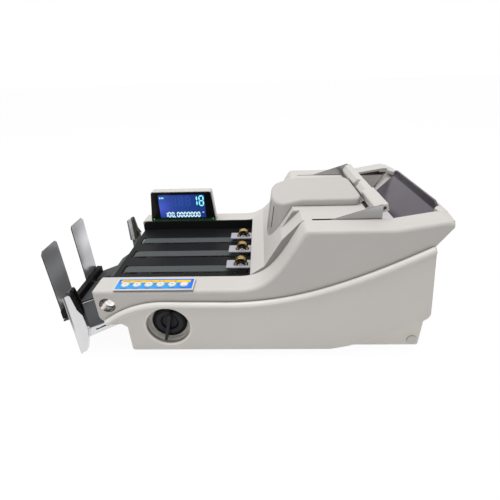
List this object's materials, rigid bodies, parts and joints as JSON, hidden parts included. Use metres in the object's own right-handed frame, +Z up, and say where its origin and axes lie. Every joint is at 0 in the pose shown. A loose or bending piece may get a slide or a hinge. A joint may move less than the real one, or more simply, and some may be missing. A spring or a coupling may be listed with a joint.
{
  "type": "banknote counter",
  "caption": "Long fanning banknote counter with a hooded feed, rear hopper, black fan-out tray with press wheels, upright display, key panel and a catch tray with bright stop plates.",
  "frame": {"origin": "middle of the bounding box in plan, on the table that the rubber feet stand on", "axes": "+X along the note path towards the hopper, +Y away from the operator, +Z up"},
  "size_m": [0.469, 0.241, 0.1782],
  "materials": {
    "shell": "fine satin moulding, warm light grey",
    "pale": "smooth pale plastic",
    "plug": "plain moulded plug",
    "black": "black satin plastic",
    "belt": "dark woven flat belt",
    "rubber": "dark matte rubber",
    "arm": "pale lilac-white coated sheet",
    "tyre_metal": "turned yellow metal with a bright hub",
    "screen": "blue backlit screen",
    "lamp": "small green lamps",
    "key_blue": "blue printed film",
    "key_white": "white round keys",
    "steel": "plain bright sheet steel",
    "smoke": "smoky see-through sheet",
    "motor": "dark motor can",
    "floor": "dark grey moulded floor",
    "bright": "polished plated metal"
  },
  "bodies": {
    "body": {"upper_shell": "shell", "ramp": "shell", "hood": "shell", "cover_front": "shell", "cover_back": "shell", "base": "shell", "rear_panel": "shell", "display_housing": "pale", "key_plate": "pale", "plug": "plug", "tray_bed": "black", "display_front": "black", "power_inlet": "black", "switch_case": "black", "tray_belts": "belt", "drive_belt": "belt", "feet": "rubber", "display_screen": "screen", "display_lamps": "lamp", "key_face": "key_blue", "press_rod": "steel", "hopper_floor": "steel", "chute": "steel", "frame_front": "steel", "frame_back": "steel", "hopper_back": "smoke", "motor": "motor", "catch_floor": "floor", "leg_front": "bright", "leg_back": "bright", "leg_linings": "bright"},
    "knob": {"knob": "black"},
    "flap": {"flap_bar": "shell", "flap_wing_front": "steel", "flap_wing_back": "steel", "flap_shaft": "steel"},
    "stops": {"stop_bar": "black", "stop_front": "bright", "stop_back": "bright"},
    "pickup": {"pickup_roller": "rubber"},
    "feed": {"feed_roller": "rubber"},
    "delivery": {"delivery_roller": "rubber"},
    "idler": {"idler_roller": "rubber"},
    "drive": {"motor_pulley": "steel"},
    "rocker": {"power_switch": "black"},
    "key_1": {"key_1": "key_white"},
    "key_2": {"key_2": "key_white"},
    "key_3": {"key_3": "key_white"},
    "key_4": {"key_4": "key_white"},
    "key_5": {"key_5": "key_white"},
    "key_6": {"key_6": "key_white"},
    "arm_1": {"press_arm_1": "arm"},
    "wheel_1": {"press_wheel_1": "tyre_metal"},
    "arm_2": {"press_arm_2": "arm"},
    "wheel_2": {"press_wheel_2": "tyre_metal"},
    "arm_3": {"press_arm_3": "arm"},
    "wheel_3": {"press_wheel_3": "tyre_metal"}
  },
  "joints": [
    {"name": "drive_spin", "type": "hinge", "parent": "body", "child": "drive", "pos_m": [0.0905, 0, 0.046], "axis": [0, 1, 0], "continuous": true},
    {"name": "feed_spin", "type": "hinge", "parent": "body", "child": "feed", "pos_m": [0.1425, 0, 0.112], "axis": [0, 1, 0], "continuous": true},
    {"name": "pickup_spin", "type": "hinge", "parent": "body", "child": "pickup", "pos_m": [0.1785, 0, 0.115], "axis": [0, 1, 0], "continuous": true},
    {"name": "delivery_spin", "type": "hinge", "parent": "body", "child": "delivery", "pos_m": [0.011, 0, 0.0692], "axis": [0, 1, 0], "continuous": true},
    {"name": "idler_spin", "type": "hinge", "parent": "body", "child": "idler", "pos_m": [-0.1355, 0, 0.0692], "axis": [0, 1, 0], "continuous": true},
    {"name": "arm_1_lift", "type": "hinge", "parent": "body", "child": "arm_1", "pos_m": [0.0355, -0.042, 0.082], "axis": [0, 1, 0], "range_deg": [0, 12], "stiffness_Nm_per_rad": 0.05, "springref_deg": -8.59},
    {"name": "wheel_1_spin", "type": "hinge", "parent": "arm_1", "child": "wheel_1", "pos_m": [0.011, -0.042, 0.0865], "axis": [0, 1, 0], "continuous": true},
    {"name": "arm_2_lift", "type": "hinge", "parent": "body", "child": "arm_2", "pos_m": [0.0355, 0, 0.082], "axis": [0, 1, 0], "range_deg": [0, 12], "stiffness_Nm_per_rad": 0.05, "springref_deg": -8.59},
    {"name": "wheel_2_spin", "type": "hinge", "parent": "arm_2", "child": "wheel_2", "pos_m": [0.011, 0, 0.0865], "axis": [0, 1, 0], "continuous": true},
    {"name": "arm_3_lift", "type": "hinge", "parent": "body", "child": "arm_3", "pos_m": [0.0355, 0.042, 0.082], "axis": [0, 1, 0], "range_deg": [0, 12], "stiffness_Nm_per_rad": 0.05, "springref_deg": -8.59},
    {"name": "wheel_3_spin", "type": "hinge", "parent": "arm_3", "child": "wheel_3", "pos_m": [0.011, 0.042, 0.0865], "axis": [0, 1, 0], "continuous": true},
    {"name": "key_1_press", "type": "slide", "parent": "body", "child": "key_1", "axis": [0, 0, -1], "range_m": [0, 0.0008], "stiffness_N_per_m": 400, "springref_m": -0.001},
    {"name": "key_2_press", "type": "slide", "parent": "body", "child": "key_2", "axis": [0, 0, -1], "range_m": [0, 0.0008], "stiffness_N_per_m": 400, "springref_m": -0.001},
    {"name": "key_3_press", "type": "slide", "parent": "body", "child": "key_3", "axis": [0, 0, -1], "range_m": [0, 0.0008], "stiffness_N_per_m": 400, "springref_m": -0.001},
    {"name": "key_4_press", "type": "slide", "parent": "body", "child": "key_4", "axis": [0, 0, -1], "range_m": [0, 0.0008], "stiffness_N_per_m": 400, "springref_m": -0.001},
    {"name": "key_5_press", "type": "slide", "parent": "body", "child": "key_5", "axis": [0, 0, -1], "range_m": [0, 0.0008], "stiffness_N_per_m": 400, "springref_m": -0.001},
    {"name": "key_6_press", "type": "slide", "parent": "body", "child": "key_6", "axis": [0, 0, -1], "range_m": [0, 0.0008], "stiffness_N_per_m": 400, "springref_m": -0.001},
    {"name": "knob_turn", "type": "hinge", "parent": "body", "child": "knob", "pos_m": [-0.0715, -0.112, 0.0445], "axis": [0, 1, 0], "range_deg": [-150, 150]},
    {"name": "flap_lift", "type": "hinge", "parent": "body", "child": "flap", "pos_m": [0.096, 0, 0.151], "axis": [0, 1, 0], "range_deg": [-30, 10]},
    {"name": "stop_slide", "type": "slide", "parent": "body", "child": "stops", "axis": [0.9348, 0, 0.3552], "range_m": [0, 0.025]},
    {"name": "rocker_tilt", "type": "hinge", "parent": "body", "child": "rocker", "pos_m": [0.221, 0.019, 0.029], "axis": [0, 1, 0], "range_deg": [-14, 0]}
  ],
  "couplings": [
    {"joint": "feed_spin", "follows": "drive_spin", "ratio": 0.75},
    {"joint": "pickup_spin", "follows": "drive_spin", "ratio": 0.75},
    {"joint": "delivery_spin", "follows": "drive_spin", "ratio": 0.64286},
    {"joint": "idler_spin", "follows": "drive_spin", "ratio": 0.64286}
  ]
}
